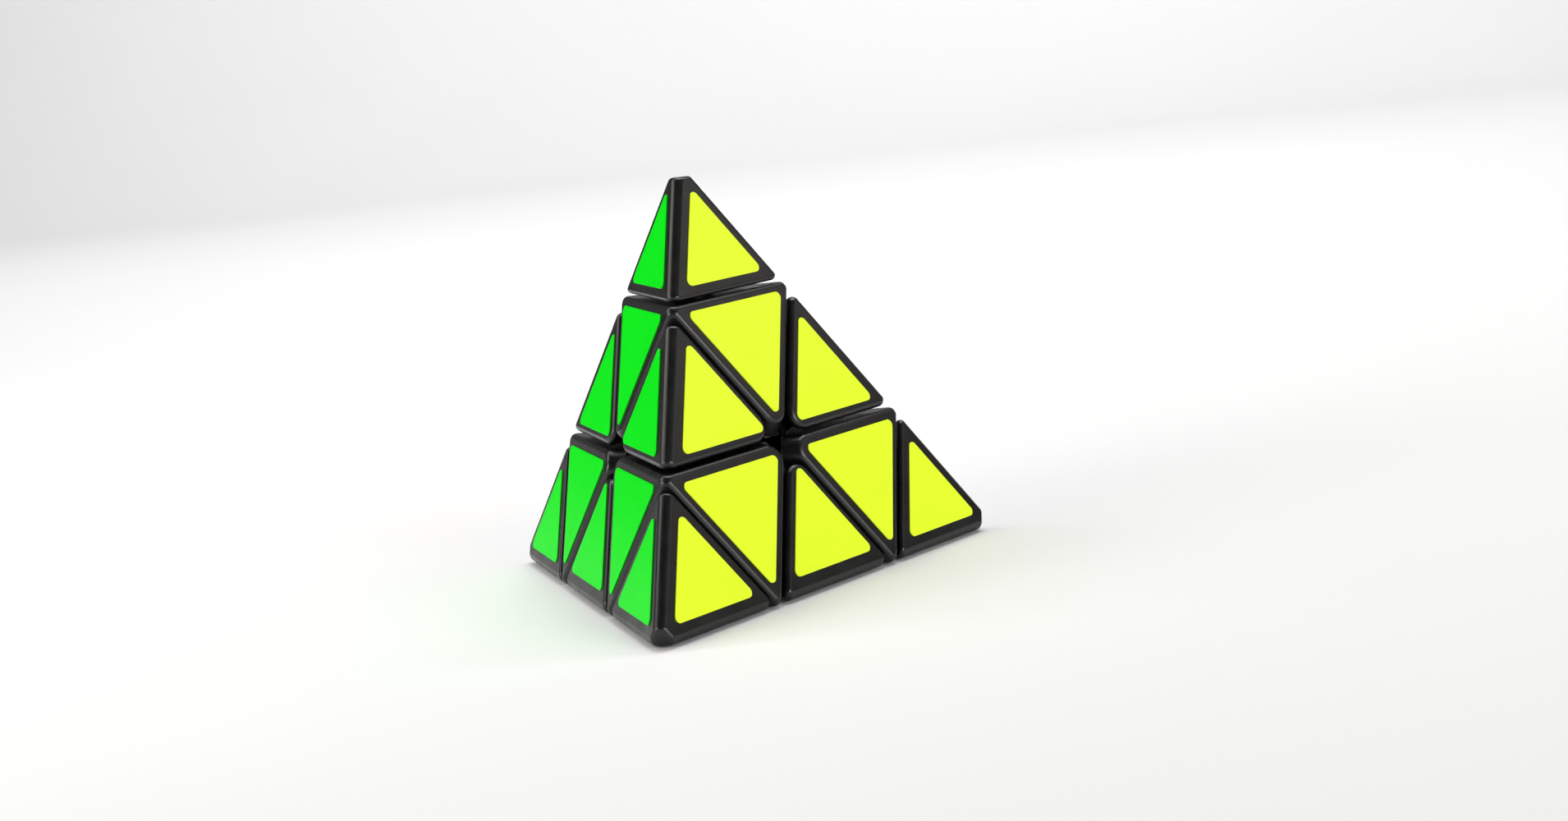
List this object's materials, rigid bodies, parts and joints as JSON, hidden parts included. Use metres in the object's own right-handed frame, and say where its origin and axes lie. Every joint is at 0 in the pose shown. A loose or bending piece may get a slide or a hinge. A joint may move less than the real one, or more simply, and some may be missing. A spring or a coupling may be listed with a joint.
{
  "type": "pyramid twisty puzzle",
  "caption": "Tetrahedral twisty puzzle: corner layers turn about a sprung core, small tips twist on their own, and black pieces carry coloured triangular stickers.",
  "frame": {"origin": "middle of the core, where the four turning axes meet, which is also the tetrahedron's centroid", "axes": "+Z through the top vertex, with the puzzle lying on the face opposite to it; -Y towards the front vertex"},
  "size_m": [0.0912, 0.0795, 0.0746],
  "materials": {
    "black_plastic": "black moulded ABS, satin gloss",
    "core_plastic": "dark grey moulded nylon",
    "screw_steel": "zinc-plated steel",
    "spring_steel": "bright spring wire",
    "sticker_yellow": "fluorescent yellow vinyl film, satin",
    "sticker_green": "bright green vinyl film, satin",
    "sticker_blue": "blue vinyl film, satin",
    "sticker_red": "red vinyl film, satin"
  },
  "bodies": {
    "core": {"core": "core_plastic", "screw_top": "screw_steel", "screw_front": "screw_steel", "screw_right": "screw_steel", "screw_left": "screw_steel", "spring_top": "spring_steel", "spring_front": "spring_steel", "spring_right": "spring_steel", "spring_left": "spring_steel"},
    "layer_top": {"axial_top": "black_plastic", "sticker_blue_axial_top": "sticker_blue", "sticker_green_axial_top": "sticker_green", "sticker_yellow_axial_top": "sticker_yellow"},
    "layer_front": {"axial_front": "black_plastic", "sticker_red_axial_front": "sticker_red", "sticker_green_axial_front": "sticker_green", "sticker_yellow_axial_front": "sticker_yellow"},
    "layer_right": {"axial_right": "black_plastic", "sticker_red_axial_right": "sticker_red", "sticker_blue_axial_right": "sticker_blue", "sticker_yellow_axial_right": "sticker_yellow"},
    "layer_left": {"axial_left": "black_plastic", "sticker_red_axial_left": "sticker_red", "sticker_blue_axial_left": "sticker_blue", "sticker_green_axial_left": "sticker_green"},
    "tip_top": {"tip_top": "black_plastic", "sticker_blue_tip_top": "sticker_blue", "sticker_green_tip_top": "sticker_green", "sticker_yellow_tip_top": "sticker_yellow"},
    "tip_front": {"tip_front": "black_plastic", "sticker_red_tip_front": "sticker_red", "sticker_green_tip_front": "sticker_green", "sticker_yellow_tip_front": "sticker_yellow"},
    "tip_right": {"tip_right": "black_plastic", "sticker_red_tip_right": "sticker_red", "sticker_blue_tip_right": "sticker_blue", "sticker_yellow_tip_right": "sticker_yellow"},
    "tip_left": {"tip_left": "black_plastic", "sticker_red_tip_left": "sticker_red", "sticker_blue_tip_left": "sticker_blue", "sticker_green_tip_left": "sticker_green"},
    "edge_top_front": {"edge_top_front": "black_plastic", "sticker_green_edge_top_front": "sticker_green", "sticker_yellow_edge_top_front": "sticker_yellow"},
    "edge_top_right": {"edge_top_right": "black_plastic", "sticker_blue_edge_top_right": "sticker_blue", "sticker_yellow_edge_top_right": "sticker_yellow"},
    "edge_top_left": {"edge_top_left": "black_plastic", "sticker_blue_edge_top_left": "sticker_blue", "sticker_green_edge_top_left": "sticker_green"},
    "edge_front_right": {"edge_front_right": "black_plastic", "sticker_red_edge_front_right": "sticker_red", "sticker_yellow_edge_front_right": "sticker_yellow"},
    "edge_front_left": {"edge_front_left": "black_plastic", "sticker_red_edge_front_left": "sticker_red", "sticker_green_edge_front_left": "sticker_green"},
    "edge_right_left": {"edge_right_left": "black_plastic", "sticker_red_edge_right_left": "sticker_red", "sticker_blue_edge_right_left": "sticker_blue"}
  },
  "joints": [
    {"name": "turn_top", "type": "hinge", "parent": "core", "child": "layer_top", "pos_m": [0, 0, 0], "axis": [0, 0, 1], "range_deg": [-240, 120]},
    {"name": "turn_front", "type": "hinge", "parent": "core", "child": "layer_front", "pos_m": [0, 0, 0], "axis": [0, -0.9428, -0.3333], "range_deg": [-240, 120]},
    {"name": "turn_right", "type": "hinge", "parent": "core", "child": "layer_right", "pos_m": [0, 0, 0], "axis": [0.8165, 0.4714, -0.3333], "range_deg": [-240, 120]},
    {"name": "turn_left", "type": "hinge", "parent": "core", "child": "layer_left", "pos_m": [0, 0, 0], "axis": [-0.8165, 0.4714, -0.3333], "range_deg": [-240, 120]},
    {"name": "twist_tip_top", "type": "hinge", "parent": "layer_top", "child": "tip_top", "pos_m": [0, 0, 0], "axis": [0, 0, 1], "continuous": true},
    {"name": "twist_tip_front", "type": "hinge", "parent": "layer_front", "child": "tip_front", "pos_m": [0, 0, 0], "axis": [0, -0.9428, -0.3333], "continuous": true},
    {"name": "twist_tip_right", "type": "hinge", "parent": "layer_right", "child": "tip_right", "pos_m": [0, 0, 0], "axis": [0.8165, 0.4714, -0.3333], "continuous": true},
    {"name": "twist_tip_left", "type": "hinge", "parent": "layer_left", "child": "tip_left", "pos_m": [0, 0, 0], "axis": [-0.8165, 0.4714, -0.3333], "continuous": true},
    {"name": "carry_edge_top_front", "type": "hinge", "parent": "layer_top", "child": "edge_top_front", "pos_m": [0, 0, 0], "axis": [0, -0.9428, -0.3333], "range_deg": [-240, 120]},
    {"name": "carry_edge_top_right", "type": "hinge", "parent": "layer_top", "child": "edge_top_right", "pos_m": [0, 0, 0], "axis": [0.8165, 0.4714, -0.3333], "range_deg": [-240, 120]},
    {"name": "carry_edge_top_left", "type": "hinge", "parent": "layer_top", "child": "edge_top_left", "pos_m": [0, 0, 0], "axis": [-0.8165, 0.4714, -0.3333], "range_deg": [-240, 120]},
    {"name": "carry_edge_front_right", "type": "hinge", "parent": "layer_front", "child": "edge_front_right", "pos_m": [0, 0, 0], "axis": [0.8165, 0.4714, -0.3333], "range_deg": [-240, 120]},
    {"name": "carry_edge_right_left", "type": "hinge", "parent": "layer_right", "child": "edge_right_left", "pos_m": [0, 0, 0], "axis": [-0.8165, 0.4714, -0.3333], "range_deg": [-240, 120]},
    {"name": "carry_edge_front_left", "type": "hinge", "parent": "layer_left", "child": "edge_front_left", "pos_m": [0, 0, 0], "axis": [0, -0.9428, -0.3333], "range_deg": [-240, 120]}
  ],
  "couplings": [
    {"joint": "carry_edge_top_front", "follows": "turn_front", "ratio": 1},
    {"joint": "carry_edge_top_right", "follows": "turn_right", "ratio": 1},
    {"joint": "carry_edge_top_left", "follows": "turn_left", "ratio": 1},
    {"joint": "carry_edge_front_right", "follows": "turn_right", "ratio": 1},
    {"joint": "carry_edge_right_left", "follows": "turn_left", "ratio": 1},
    {"joint": "carry_edge_front_left", "follows": "turn_front", "ratio": 1}
  ]
}
